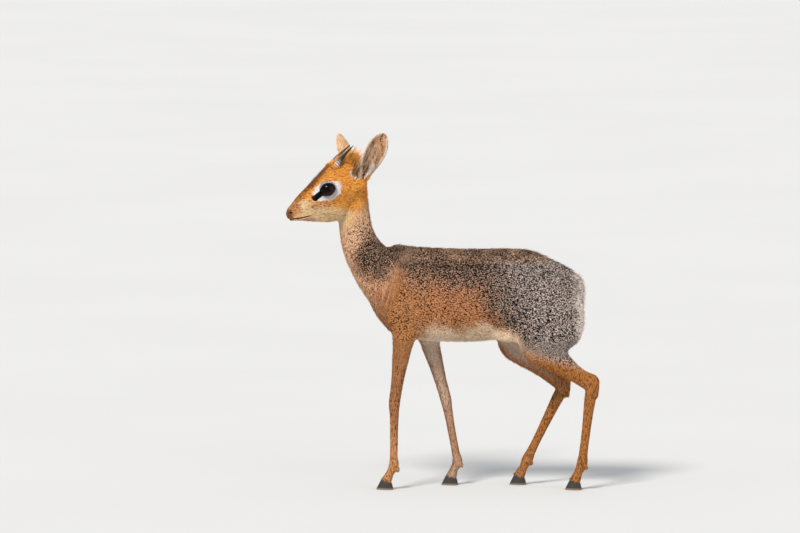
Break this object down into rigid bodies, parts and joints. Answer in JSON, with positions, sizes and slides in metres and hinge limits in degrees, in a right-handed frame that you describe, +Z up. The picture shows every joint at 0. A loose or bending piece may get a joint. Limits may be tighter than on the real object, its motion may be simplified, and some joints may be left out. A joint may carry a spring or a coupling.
{
  "type": "antelope",
  "caption": "Small African antelope buck walking slowly, head turned slightly to its left, ears up, short straight horns and a hair tuft between them.",
  "frame": {"origin": "on the ground, under the middle of the animal's box", "axes": "-X the way the animal walks, +Z up, -Y its left side"},
  "size_m": [0.4854, 0.1254, 0.5521],
  "materials": {
    "face": "orange short hair, pale ring round each eye",
    "neck": "tan short hair with dark speckles",
    "body": "grizzled grey and rufous hair, pale below",
    "leg": "orange short hair",
    "ear": "thin skin, pale hair inside, tan behind",
    "tail": "grizzled hair",
    "horn": "dark ringed horn",
    "eye": "wet black",
    "hoof": "dull black horn"
  },
  "bodies": {
    "root": {"head": "face", "neck": "neck", "torso": "body", "tail": "tail", "ear_left": "ear", "eye_left": "eye", "horn_left": "horn", "foreleg_left": "leg", "hindleg_left": "leg", "hoof_fore_left_left_claw": "hoof", "hoof_fore_left_right_claw": "hoof", "hoof_hind_left_left_claw": "hoof", "hoof_hind_left_right_claw": "hoof", "ear_right": "ear", "eye_right": "eye", "horn_right": "horn", "foreleg_right": "leg", "hindleg_right": "leg", "hoof_fore_right_left_claw": "hoof", "hoof_fore_right_right_claw": "hoof", "hoof_hind_right_left_claw": "hoof", "hoof_hind_right_right_claw": "hoof"}
  },
  "joints": []
}
